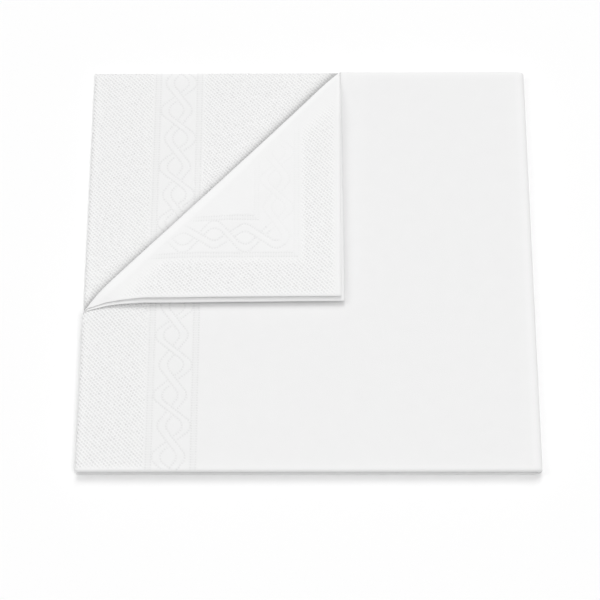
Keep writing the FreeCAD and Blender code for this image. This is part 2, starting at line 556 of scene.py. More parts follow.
@dataclass
class Emboss:
    """What is pressed into the sheet's outer side, in millimetres."""

    folds: Folds
    rail_inset: float = 25.55  # from the left edge to the outer rail, on the upper leaf
    lower_rail_inset: float = 24.6  # the same on the lower leaf
    turned_rail_inset: float = 16.4  # the same on the turned corner, from both of its edges
    rail_spacing: float = 15.9
    turned_rail_spacing: float = 14.8
    rail_pair: float = 1.8
    turned_rail_pair: float = 1.5
    line_width: float = 0.6
    first_eye: float = 5.2  # from the front fold
    turned_swings: Tuple[float, float] = (3.3, 4.7)
    top_reach: float = 112.0  # how far the upper leaf's border is meshed, from its first eye
    lower_start: float = 76.0  # where the lower leaf's border comes out from under the corner
    rail_depth: float = 0.3
    rung_depth: float = 0.09
    rail_dot: float = 0.27
    rope_depth: float = 0.3
    groove_depth: float = 0.035
    rope_dot: float = 0.27
    groove_width: float = 0.3
    groove_pitch: float = 0.2
    margin: float = 0.1  # past the ends and sides of a border's own mesh
    hidden_room: float = 1.0  # how far the border is pressed in past the crease
    front_turn: float = math.pi / 4  # how far round the front fold the border runs
    front_ease: float = 0.3
    crease_ease: float = 3.0  # over which the turned border grows, from the crease
    up_strength: float = 0.3  # of the turned corner's border beside its right edge
    smooth_right: float = 1.8  # without rows, along the turned corner's right edge
    smooth_front: float = 0.8  # the same along its front edge
    smooth_crease: float = 2.0  # the same along its crease
    right_ease: float = 1.5  # over which the rows grow beside each of these
    edge_ease: float = 0.8
    inland_ease: float = 4.0
    rail_room: float = 0.3  # from the rails to the rows
    turned_rail_room: float = 0.6
    front_rows: float = 0.4  # how far the rows run on past where the front fold begins
    right_rows_start: float = -30.0  # the lower leaf's rows right of its border begin at this y
    borders: Dict[Face, List[Border]] = field(default_factory=dict)

    def __post_init__(self) -> None:
        """Places the borders on their faces."""
        folds, pair = self.folds, self.rail_pair
        eye = folds.front + self.first_eye
        upper_x = folds.left + self.rail_inset + self.rail_spacing / 2
        lower_x = folds.left + self.lower_rail_inset + self.rail_spacing / 2
        bend = math.pi * folds.front_radius / 2
        start = folds.front_y - eye - bend
        reach = folds.depth - self.first_eye
        spacing, turned_pair = self.turned_rail_spacing, self.turned_rail_pair
        inset = self.turned_rail_inset + spacing / 2
        begin_x, self.edge_y = folds.from_crease(folds.outer_path, 0)
        self.edge_x, end_y = folds.from_crease(folds.crease_length - folds.outer_path, 0)
        middle_x, middle_y = self.edge_x - inset, self.edge_y + inset
        half = (spacing + turned_pair + self.line_width) / 2
        run_x, run_y = middle_x - begin_x, end_y - middle_y
        inner, outer = self.turned_swings
        turned = {"rail_spacing": spacing, "inner_swing": inner, "outer_swing": outer}
        self.borders = {
            Face.TOP: [Border(upper_x, eye, False, start, self.top_reach, pair, 1)],
            Face.LOWER_TOP: [Border(lower_x, eye, False, self.lower_start, reach, pair, 1)],
            Face.UNDERSIDE: [Border(lower_x, eye, False, start, reach, pair, 1, False)],
            Face.UPPER_UNDERSIDE: [
                Border(middle_x, middle_y, True, -half, run_x, turned_pair, -1, **turned),
                Border(middle_x, middle_y, False, -half, run_y, turned_pair, 1, **turned),
            ],
        }

    def open_part(self, face: Face, x: Array, y: Array, room: float) -> Array:
        """Tells which points of a face can be seen in the finished napkin.

        Args:
            face: The face.
            x: The points' x.
            y: Their y.
            room: How far the part reaches past the crease.

        Returns:
            True where a point counts.
        """
        beyond = self.folds.crease_frame(x, y)[1]
        if face is Face.TOP:
            return beyond < room
        if face is Face.LOWER_TOP:
            return beyond > -room
        if face is Face.UPPER_UNDERSIDE:
            return beyond < self.folds.bend_outer
        return np.ones(len(x), bool)

    def owner(self, border: Border, x: Array, y: Array) -> Array:
        """Shares the mitred corner of the turned corner's two stretches between them.

        Args:
            border: The stretch.
            x: The points' x.
            y: Their y.

        Returns:
            True where a point belongs to the stretch.
        """
        turned = self.borders[Face.UPPER_UNDERSIDE]
        if border not in turned:
            return np.ones(len(x), bool)
        diagonal = (x - border.middle_x) + (y - border.middle_y)
        return diagonal <= 0 if border.sideways else diagonal > 0

    def marks(self, face: Face, border: Border, pitch: float) -> Array:
        """Points of the rope of one stretch, on its face of the napkin.

        Args:
            face: The face.
            border: The stretch.
            pitch: The distance between points.

        Returns:
            The points' x and y, one row each.
        """
        own = border.rope(pitch)
        x, y = border.to_napkin(own[:, 0], own[:, 1])
        kept = self.open_part(face, x, y, 0.0) & self.owner(border, x, y)
        return np.stack([x, y], axis=1)[kept]

    def depth(self, across: Array, down: Array) -> Array:
        """How far each point of the outer side is pressed in.

        Args:
            across: The points' places across the sheet.
            down: Their places down the sheet.

        Returns:
            The depths.
        """
        zone = self.folds.zone(across, down)
        x, y = self.folds.laid(across, down, zone)
        pressed = np.zeros(len(across))
        for face, borders in self.borders.items():
            for border in borders:
                u, v = border.to_own(x, y)
                on = (
                    (zone == face.value)
                    & (np.abs(v) < border.half_width + border.side_room + self.margin)
                    & (u > border.start - self.margin)
                    & (u < border.end + self.margin)
                    & self.open_part(face, x, y, self.hidden_room)
                    & self.owner(border, x, y)
                )
                pressed[on] = self.border_depth(face, border, x[on], y[on])
        return pressed

    def border_depth(self, face: Face, border: Border, x: Array, y: Array) -> Array:
        """How far points of one stretch of the border are pressed in.

        Args:
            face: The stretch's face.
            border: The stretch.
            x: The points' x.
            y: Their y.

        Returns:
            The depths.
        """
        u, v = border.to_own(x, y)
        off_dot = np.abs(u - np.round(u / border.rail_pitch) * border.rail_pitch)
        pressed = np.zeros(len(u))
        for line in border.rail_lines:
            reach = np.hypot(off_dot, v - line)
            pressed = np.maximum(pressed, self.rail_depth * pit(reach, self.rail_dot))
        between = np.abs(np.abs(v) - border.rail_spacing / 2) < border.pair / 2
        rung = self.rung_depth * pit(off_dot, self.rail_dot)
        pressed = np.maximum(pressed, np.where(between, rung, 0))
        if border.rope_wanted and len(u):
            places = np.stack([x, y], axis=1)
            dots = near(places, tree_of(self.marks(face, border, border.dot_pitch)))
            line = near(places, tree_of(self.marks(face, border, self.groove_pitch)))
            pressed = np.maximum(pressed, self.rope_depth * pit(dots, self.rope_dot))
            pressed = np.maximum(pressed, self.groove_depth * pit(line, self.groove_width))
        if face is Face.UPPER_UNDERSIDE:
            inland = -self.folds.crease_frame(x, y)[1]
            pressed = pressed * ramp(inland, self.crease_ease)
            if not border.sideways:
                pressed = pressed * self.up_strength
        front = self.folds.front_y - self.folds.front_radius * self.front_turn
        return pressed * ramp(y - front, self.front_ease)

    def rows_strength(self, across: Array, down: Array) -> Array:
        """How strong the small diagonal rows are at each point of the outer side.

        Args:
            across: The points' places across the sheet.
            down: Their places down the sheet.

        Returns:
            Strengths from 0 to 1.
        """
        folds = self.folds
        zone = folds.zone(across, down)
        x, y = folds.laid(across, down, zone)
        beyond = folds.crease_frame(x, y)[1]
        top, lower = self.borders[Face.TOP][0], self.borders[Face.LOWER_TOP][0]
        beside, above = self.borders[Face.UPPER_UNDERSIDE]
        edge = top.half_width + self.rail_room
        turned_edge = beside.half_width + self.turned_rail_room
        lower_left = ramp(lower.middle_x - edge - x)
        lower_right = ramp(x - lower.middle_x - edge) * ramp(y - self.right_rows_start)
        outside = np.maximum(
            ramp(beside.middle_y - turned_edge - y), ramp(x - above.middle_x - turned_edge)
        )
        beside_right = ramp(self.edge_x - self.smooth_right - x, self.right_ease)
        rim = beside_right * ramp(y - self.edge_y - self.smooth_front, self.edge_ease)
        turned = outside * rim * ramp(-beyond - self.smooth_crease, self.inland_ease)
        faces = {
            Face.TOP: ramp(top.middle_x - edge - x),
            Face.LOWER_TOP: np.maximum(lower_left, lower_right),
            Face.UNDERSIDE: lower_left,
            Face.UPPER_UNDERSIDE: turned,
        }
        rows = sum(np.where(zone == face.value, values, 0) for face, values in faces.items())
        return rows * ramp(y - folds.front_y + self.front_rows, self.edge_ease)


@dataclass
class Softness:
    """How the paper departs from perfectly flat, in millimetres."""

    folds: Folds
    swell: float = 0.12  # how deep the swells are
    swell_x: float = 23.0  # length of a radian of the broad swell, sideways
    swell_y: float = 31.0  # the same from front to back
    swell_shift: Tuple[float, float] = (0.6, -0.4)  # radians
    slant_height: float = 0.6  # of the broad swell's
    slant_length: float = 17.0
    slant_shift: float = 1.1
    cross_height: float = 0.4
    cross_length: float = 13.0
    cross_slope: float = 1.7

    def shape(self, points: Array) -> Array:
        """Moves points by the paper's gentle swells, which are the same in every layer.

        Args:
            points: Rows of x, y and z.

        Returns:
            The moved points.
        """
        x, y, z = points.T
        shift_x, shift_y = self.swell_shift
        broad = np.sin(x / self.swell_x + shift_x) * np.cos(y / self.swell_y + shift_y)
        slant = self.slant_height * np.sin((x + y) / self.slant_length + self.slant_shift)
        cross = self.cross_height * np.cos((x - self.cross_slope * y) / self.cross_length)
        highest = 1 + self.slant_height + self.cross_height
        share = z / self.folds.top
        sink = self.swell * share * (broad + slant + cross - highest) / 2
        return np.stack([x, y, z + sink], axis=1)


@dataclass
class Sheet:
    """The napkin's one sheet of paper, as a closed mesh."""

    folds: Folds
    emboss: Emboss
    softness: Softness
    fine: float = 0.32
    rows_per_dot: int = 3
    rail_side: float = 0.8  # how far past bare rails the fine mesh goes
    crease_room: float = 0.5  # how far past the crease it goes
    bend_steps: int = 12
    crease_steps: int = 14
    crease_pitch: float = 1.6
    flat_pitch: float = 3.2
    edge_pitch: float = 1.6
    dot_room: float = 0.05  # from any earlier point to a dot's, and so on
    fine_room: float = 0.17
    bend_room: float = 0.14
    flat_room: float = 1.2
    rim_room: float = 0.12  # from the edge to any inner point
    edge_near: float = 0.6  # from the edge to inner points that it takes up
    corner_room: float = 0.25
    mark_room: float = 0.15
    plain_room: float = 0.5
    trim: float = 0.2
    edge_thickness: float = 0.6
    edge_ease: float = 2.5
    edge_fade: float = 1.3  # over which the painted highlights of folds and edges fade
    # how strong the painted highlight is by the edge, by the folds and by the crease
    edge_highlight: float = 0.9
    fold_highlight: float = 0.35
    crease_highlight: float = 0.7
    turned_highlight: float = 0.3  # painted highlight: how much lighter the turned corner is than the leaf
    painted_dot_shade: float = 0.42  # painted shade: how dark the deepest dots are
    crease_shade: float = 0.95  # painted shade: how dark the leaf is under the crease
    crease_shade_width: float = 1.7
    crease_shade_fade: float = 1.2
    gap_shade: float = 0.8  # painted shade: how dark the front folds are between the leaves
    gap_height: float = 2.65
    gap_reach: float = 0.45
    gap_start: float = 0.3
    gap_fade: float = 0.3
    crease_shade_rows: Tuple[float, ...] = (-1.0, 0.6, 1.5, 2.2, 3.2, 5.0)
    rim_row: float = 1.5  # from a fold or an edge to the row of points that ends its painted highlight

    def fine_points(self) -> Pair:
        """The dots of the borders, and the fine mesh round them, laid out on the sheet.

        Returns:
            The dots and the fine points, as rows of places across and down.
        """
        dots, points = [np.zeros((0, 2))], [np.zeros((0, 2))]
        for face, borders in self.emboss.borders.items():
            for border in borders:
                if border.rope_wanted:
                    marks = self.emboss.marks(face, border, border.dot_pitch)
                    dots.append(np.stack(self.folds.unfold(face, marks[:, 0], marks[:, 1]), axis=1))
                rows, columns = border.rows(self.rows_per_dot), border.columns(self.fine)
                u, v = (places.ravel() for places in np.meshgrid(rows, columns, indexing="ij"))
                if not border.rope_wanted:
                    reach = border.pair / 2 + self.rail_side
                    beside = np.abs(np.abs(v) - border.rail_spacing / 2) < reach
                    u, v = u[beside], v[beside]
                x, y = border.to_napkin(u, v)
                kept = self.emboss.open_part(face, x, y, self.crease_room)
                kept &= self.emboss.owner(border, x, y) & (y > self.folds.front_y)
                points.append(np.stack(self.folds.unfold(face, x[kept], y[kept]), axis=1))
                if face in (Face.TOP, Face.UNDERSIDE):
                    points.append(self.front_points(face, x))
        return np.concatenate(dots), np.concatenate(points)

    def front_points(self, face: Face, x: Array) -> Array:
        """Carries a border's columns on round the front fold.

        Args:
            face: The border's face.
            x: The x of the points of its fine mesh.

        Returns:
            Rows of places across and down.
        """
        folds = self.folds
        columns = np.unique(np.round(x, 4))
        turns = np.arange(1, self.bend_steps) / self.bend_steps
        across, _ = folds.unfold(face, columns, np.full(len(columns), folds.front_y))
        return grid(across, folds.run_down + folds.bend_down * turns)

    def bend_points(self, along_pitch: float) -> Array:
        """Rows of points along both folds and round the crease.

        Args:
            along_pitch: The distance between the points of a row.

        Returns:
            Rows of places across and down.
        """
        folds = self.folds
        across_rows = self.fold_rows(folds.run_across, folds.bend_across, folds.flat_width)
        down_rows = self.fold_rows(folds.run_down, folds.bend_down, folds.flat_depth)
        across_pitch, down_pitch = self.lattice(along_pitch)
        sets = [
            grid(across_rows, down_rows),
            grid(across_rows, down_pitch),
            grid(across_pitch, down_rows),
        ]
        tips = (0, folds.tip_length, folds.crease_length - folds.tip_length, folds.crease_length)
        pitches = (self.crease_pitch / 2, self.crease_pitch, self.crease_pitch / 2)
        places = np.concatenate(
            [np.arange(low, high, step) for low, high, step in zip(tips, tips[1:], pitches)]
        )
        # rows on the leaf under the crease, where its painted shade lies
        for row in self.crease_shade_rows:
            x, y = folds.from_crease(places, folds.crease_reach(places) + row)
            sets.append(np.stack(folds.unfold(Face.LOWER_TOP, x, y), axis=1))
        sets += [self.crease_rows(places, inner) for inner in (False, True)]
        return np.concatenate(sets)

    def fold_rows(self, run: float, bend: float, size: float) -> Array:
        """Places of the rows of points round one fold, and beside it and the edges.

        Args:
            run: Where the bend begins.
            bend: How much of the sheet is in it.
            size: The sheet's size from edge to edge across the fold.

        Returns:
            The places.
        """
        rows = run + bend * np.linspace(0, 1, self.bend_steps + 1)
        rim = self.rim_row
        return np.concatenate([rows, (rows[0] - rim, rows[-1] + rim, rim, size - rim)])

    def crease_rows(self, places: Array, inner: bool) -> Array:
        """Points round the crease on one layer of the upper leaf.

        Args:
            places: Places along the crease.
            inner: Whether it is the leaf's lower layer, which is outside in the crease.

        Returns:
            Rows of places across and down.
        """
        folds = self.folds
        path = folds.outer_path if inner else folds.inner_path
        along, share = np.meshgrid(places, np.linspace(0, 1, self.crease_steps + 1))
        begin, length = folds.bend_span(along)
        beyond = begin + share * length * path / folds.outer_path
        start, length = folds.bend_span(places)
        ends = [start - self.rim_row, start + length + self.rim_row]
        along = np.concatenate([along.ravel(), places, places])
        x, y = folds.from_crease(along, np.concatenate([beyond.ravel(), *ends]))
        across, down = folds.unfold(Face.TOP, x, y)
        return np.stack([across, folds.flat_depth - down if inner else down], axis=1)

    def lattice(self, pitch: float) -> Pair:
        """The places across and down of a plain lattice over the whole sheet."""
        sizes = (self.folds.flat_width, self.folds.flat_depth)
        across, down = (np.linspace(0, size, round(size / pitch) + 1) for size in sizes)
        return across, down

    def edge_points(self, fine: Array) -> Array:
        """Points round the sheet's edge, in order, with the fine mesh's where it reaches there.

        Args:
            fine: The points of the fine mesh and of the bends.

        Returns:
            Rows of places across and down.
        """
        size = np.array([self.folds.flat_width, self.folds.flat_depth])
        low, high = np.full(2, self.trim), size - self.trim
        sides = []
        for axis, wall, step in ((0, low, 1), (1, high, 1), (0, high, -1), (1, low, -1)):
            level = 1 - axis
            close = np.abs(fine[:, level] - wall[level]) < self.edge_near
            line = self.edge_line(fine[close, axis], low[axis], high[axis])
            side = np.empty((len(line), 2))
            side[:, axis], side[:, level] = line, wall[level]
            sides.append(side[::step][:-1])
        return np.concatenate(sides)

    def edge_line(self, marks: Array, low: float, high: float) -> Array:
        """Places along one side of the edge: the marks, and an even pitch between them.

        Args:
            marks: Places that the fine mesh asks for.
            low: Where the side begins.
            high: Where it ends.

        Returns:
            The places in order, with both ends.
        """
        inside = (marks > low + self.corner_room) & (marks < high - self.corner_room)
        kept: List[float] = []
        for value in np.sort(marks[inside]):
            if not kept or value - kept[-1] > self.mark_room:
                kept.append(float(value))
        fixed = np.array(kept)
        for value in np.linspace(low, high, round((high - low) / self.edge_pitch) + 1):
            lone = len(fixed) == 0 or np.min(np.abs(fixed - value)) > self.plain_room
            if lone or value in (low, high):
                kept.append(float(value))
        return np.unique(np.array(kept))

    def thin(self, groups: Groups) -> Array:
        """Joins groups of points, each without those too near to the groups before it.

        Args:
            groups: Points and how near they may be to earlier groups.

        Returns:
            All the points that stay.
        """
        kept = groups[0][0]
        low = self.trim + self.rim_room
        high = np.array([self.folds.flat_width, self.folds.flat_depth]) - low
        for points, room in groups[1:]:
            points = points[np.all((points > low) & (points < high), axis=1)]
            points = points[near(points, tree_of(kept)) > room]
            kept = np.concatenate([kept, points])
        return kept

    def triangles(self, points: Array) -> Array:
        """Joins points of the flat sheet into triangles.

        Args:
            points: Rows of places across and down.

        Returns:
            Three indices to a row.
        """
        flat = [Vector((float(a), float(b))) for a, b in points]
        result = delaunay_2d_cdt(flat, [], [], 0, MERGE_ROOM)
        origin = [ids[0] if ids else -1 for ids in result[3]]
        faces = [[origin[i] for i in face] for face in result[2]]
        return np.array([face for face in faces if len(face) == 3 and min(face) >= 0])

    def side(self, edge: Array, groups: Groups) -> Pair:
        """Meshes one side of the sheet: the points, the edge's first, and the triangles."""
        points = self.thin([(edge, 0.0), *groups])
        return points, self.triangles(points)

    def inner_depth(self, across: Array, down: Array) -> Array:
        """How far the sheet's inner side is under its outer side.

        Args:
            across: The points' places across the sheet.
            down: Their places down the sheet.

        Returns:
            The thicknesses.
        """
        room = self.folds.from_edge(across, down)
        rounded = np.sin(ramp(room, self.edge_ease) * math.pi / 2)
        return self.edge_thickness + (self.folds.layer - self.edge_thickness) * rounded

    def highlight_share(self, across: Array, down: Array) -> Array:
        """How much painted highlight points get near a fold, the crease or the sheet's edge, and on
        the turned corner.

        Args:
            across: The points' places across the sheet.
            down: Their places down the sheet.

        Returns:
            Shares from 0 to 1.
        """
        folds = self.folds
        x, y = folds.flat_place(across, down)
        along, beyond = folds.crease_frame(x, y)
        upper = across > folds.flat_width / 2
        to_fold = np.minimum(
            np.abs(across - folds.flat_width / 2) - folds.bend_across / 2,
            np.abs(down - folds.flat_depth / 2) - folds.bend_down / 2,
        )
        near_edge = self.edge_highlight * fade(folds.from_edge(across, down), self.edge_fade)
        near_fold = self.fold_highlight * fade(to_fold, self.edge_fade)
        begin, length = folds.bend_span(along)
        past = np.abs(beyond - begin - length / 2) - length / 2
        near_crease = np.where(upper, self.crease_highlight * fade(past, self.edge_fade), 0)
        turned = (folds.zone(across, down) == Face.UPPER_UNDERSIDE.value) & (beyond > 0)
        share = np.maximum(np.maximum(near_edge, near_fold), near_crease)
        return np.maximum(share, np.where(turned, self.turned_highlight, 0))

    def painted_crease_shade(self, across: Array, down: Array) -> Array:
        """How much painted shade the crease lays on the layer under it, where that comes out from
        beneath.

        Args:
            across: The points' places across the sheet.
            down: Their places down the sheet.

        Returns:
            Shares from 0 to 1.
        """
        folds = self.folds
        x, y = folds.flat_place(across, down)
        along, beyond = folds.crease_frame(x, y)
        out = beyond - folds.crease_reach(along)
        under = (folds.zone(across, down) == Face.LOWER_TOP.value) & (out > -self.crease_shade_rows[-1])
        shown = self.crease_shade * fade(out - self.crease_shade_width, self.crease_shade_fade)
        return np.where(under, shown, 0)

    def painted_gap_shade(self, points: Array) -> Array:
        """How much painted shade darkens the front bends beside the gap between the leaves.

        Args:
            points: Placed points of the outer side.

        Returns:
            The shares.
        """
        away = np.abs(points[:, 2] - self.gap_height) - self.gap_reach
        ahead = ramp(self.folds.front_y - points[:, 1], self.gap_start)
        return self.gap_shade * fade(away, self.gap_fade) * ahead

    def build(self) -> bpy.types.Object:
        """Makes the sheet's mesh.

        Returns:
            The new object.
        """
        dots, fine = self.fine_points()
        bends = self.bend_points(self.flat_pitch)
        plain = [(bends, self.bend_room), (grid(*self.lattice(self.flat_pitch)), self.flat_room)]
        pressed_in = [(dots, self.dot_room), (fine, self.fine_room)]
        edge = self.edge_points(np.concatenate([fine, bends]))
        outer, outer_faces = self.side(edge, pressed_in + plain)
        inner, inner_faces = self.side(edge, plain)
        middle = np.array([self.folds.flat_width, self.folds.flat_depth]) / 2
        rim = middle + (edge - middle) * (middle / (middle - self.trim))
        sheet = np.concatenate([outer, inner, rim])

        outer_depth = self.emboss.depth(outer[:, 0], outer[:, 1])
        inner_depth = self.inner_depth(inner[:, 0], inner[:, 1])
        rim_depth = np.full(len(rim), self.edge_thickness / 2)
        depth = np.concatenate([outer_depth, inner_depth, rim_depth])
        points = self.softness.shape(self.folds.place(sheet[:, 0], sheet[:, 1], depth))

        rim_faces = self.rim_faces(len(edge), len(outer), len(outer) + len(inner))
        sides = [outer_faces, (inner_faces + len(outer))[:, ::-1], rim_faces]
        faces = [face for side in sides for face in side.tolist()]
        mesh = bpy.data.meshes.new("napkin_sheet")
        mesh.from_pydata((points * MM).tolist(), [], faces)
        mesh.validate(verbose=False)
        mesh.shade_smooth()
        self.add_uv_map(mesh, sheet)
        self.add_attributes(mesh, sheet, points, outer_depth)
        piece = bpy.data.objects.new("napkin_sheet", mesh)
        bpy.context.collection.objects.link(piece)
        LOG.info("sheet: %d points, %d faces", len(points), len(faces))
        return piece

    @staticmethod
    def rim_faces(count: int, inner_start: int, rim_start: int) -> Array:
        """The two rows of quads round the sheet's cut edge.

        Args:
            count: How many points there are round the edge.
            inner_start: The number of the inner side's first point.
            rim_start: The number of the rim's first point.

        Returns:
            Four indices to a row.
        """
        here = np.arange(count)
        there = (here + 1) % count
        first = [there, here, rim_start + here, rim_start + there]
        second = [rim_start + there, rim_start + here, inner_start + here, inner_start + there]
        return np.concatenate([np.stack(first, axis=1), np.stack(second, axis=1)])

    def add_uv_map(self, mesh: bpy.types.Mesh, sheet: Array) -> None:
        """Gives the mesh its UV map, the finished napkin as it is seen from above.

        Args:
            mesh: The sheet's mesh.
            sheet: The place of each of its points on the sheet.
        """
        corner_points = np.empty(len(mesh.loops), dtype=np.int32)
        mesh.loops.foreach_get("vertex_index", corner_points)
        sizes = np.empty(len(mesh.polygons), dtype=np.int32)
        mesh.polygons.foreach_get("loop_total", sizes)
        owner = np.repeat(np.arange(len(sizes)), sizes)
        corners = sheet[corner_points]
        middles = [np.bincount(owner, corners[:, axis]) / sizes for axis in (0, 1)]
        zone = self.folds.zone(*middles)[owner]
        places = np.stack(self.folds.laid(*corners.T, zone), axis=1) / UV_UNIT
        layer = mesh.uv_layers.new(name=SHEET_UV)
        layer.data.foreach_set("uv", places.astype(np.float32).ravel())

    def add_attributes(
        self, mesh: bpy.types.Mesh, sheet: Array, points: Array, depth: Array
    ) -> None:
        """Gives the mesh the point attributes that its finish reads.

        Args:
            mesh: The sheet's mesh.
            sheet: The place of each of its points on the sheet.
            points: Where each is in the napkin.
            depth: How far each point of the outer side, which come first, is pressed in.
        """
        count = len(depth)
        across, down = sheet[:count].T
        # painted shade: the border's dots, the leaf under the crease and the front bends between
        # the leaves
        pressed = (
            self.painted_dot_shade * depth / self.emboss.rail_depth
            + self.painted_crease_shade(across, down)
            + self.painted_gap_shade(points[:count])
        )
        others = (0, len(sheet) - count)
        attributes = {
            EMBOSS: np.pad(self.emboss.rows_strength(across, down), others),
            HIGHLIGHT: self.highlight_share(*sheet.T),
            PAINTED_SHADE: np.pad(pressed, others),
        }
        for name, values in attributes.items():
            attribute = mesh.attributes.new(name, "FLOAT", "POINT")
            attribute.data.foreach_set("value", values.astype(np.float32))


Number = Union["Wire", float]
Inputs = Optional[Dict[Union[int, str], Any]]
Settings = Optional[Dict[str, Any]]


class Wire:
    """An output socket of a node, with arithmetic that adds Math nodes to its tree."""

    def __init__(self, graph: "Graph", socket: bpy.types.NodeSocket) -> None:
        """Wraps an output socket of a node in a graph."""
        self.graph = graph
        self.socket = socket

    def math(self, operation: str, *values: Number) -> "Wire":
        """Adds a Math node with this operation and these inputs, and wraps its output."""
        return self.graph.add(
            "ShaderNodeMath", {"operation": operation}, dict(enumerate(values))
        )

    def __add__(self, other: Number) -> "Wire":
        """This value and another added."""
        return self.math("ADD", self, other)

    def __radd__(self, other: Number) -> "Wire":
        """Another value and this one added."""
        return self.math("ADD", other, self)

    def __sub__(self, other: Number) -> "Wire":
        """This value less another."""
        return self.math("SUBTRACT", self, other)

    def __rsub__(self, other: Number) -> "Wire":
        """Another value less this one."""
        return self.math("SUBTRACT", other, self)

    def __mul__(self, other: Number) -> "Wire":
        """This value times another."""
        return self.math("MULTIPLY", self, other)

    def __rmul__(self, other: Number) -> "Wire":
        """Another value times this one."""
        return self.math("MULTIPLY", other, self)

    def __truediv__(self, other: Number) -> "Wire":
        """This value divided by another."""
        return self.math("DIVIDE", self, other)

    def __rtruediv__(self, other: Number) -> "Wire":
        """Another value divided by this one."""
        return self.math("DIVIDE", other, self)

    def wave(self) -> "Wire":
        """A wave between 0 and 1, with its peaks where this value is whole."""
        return self.math("COSINE", self * (2 * math.pi)) * 0.5 + 0.5

    def nearest(self) -> "Wire":
        """The whole number nearest to this value."""
        return self.math("FLOOR", self + 0.5)


class Graph:
    """A material's or a world's node tree."""

    def __init__(self, tree: bpy.types.NodeTree) -> None:
        """Empties a tree to build in."""
        self.tree = tree
        tree.nodes.clear()

    def node(
        self, kind: str, settings: Settings = None, inputs: Inputs = None
    ) -> bpy.types.Node:
        """Adds any node.

        Args:
            kind: The node's type.
            settings: Its properties by name.
            inputs: Values or wires for its inputs, by name or number.

        Returns:
            The node.
        """
        node = self.tree.nodes.new(kind)
        for name, value in (settings or {}).items():
            setattr(node, name, value)
        for name, value in (inputs or {}).items():
            if isinstance(value, Wire):
                self.tree.links.new(value.socket, node.inputs[name])
            else:
                node.inputs[name].default_value = value
        return node

    def add(
        self,
        kind: str,
        settings: Settings = None,
        inputs: Inputs = None,
        output: Union[int, str] = 0,
    ) -> Wire:
        """Adds any node, as `node` does, and wraps one of its outputs."""
        return Wire(self, self.node(kind, settings, inputs).outputs[output])

    def mix(self, share: Number, first: Any, second: Any, blend: str = "MIX") -> Wire:
        """Mixes two colours.

        Args:
            share: How much of the second there is.
            first: The first colour.
            second: The second colour.
            blend: How they are mixed.

        Returns:
            The mixed colour.
        """
        settings = {"data_type": "RGBA", "blend_type": blend}
        return self.add("ShaderNodeMix", settings, {0: share, 6: first, 7: second}, 2)

    def noise(self, places: Wire, scale: float, detail: float, roughness: float) -> Wire:
        """Adds noise over flat places.

        Args:
            places: The places.
            scale: How many cells there are in one unit.
            detail: How many finer layers there are.
            roughness: How strong each is next to the one before.

        Returns:
            Values about 0.5.
        """
        inputs = {"Vector": places, "Scale": scale, "Detail": detail, "Roughness": roughness}
        return self.add("ShaderNodeTexNoise", {"noise_dimensions": "2D"}, inputs, "Fac")

    def attribute(self, name: str) -> Wire:
        """Reads one of the mesh's attributes."""
        return self.add("ShaderNodeAttribute", {"attribute_name": name}, None, "Fac")


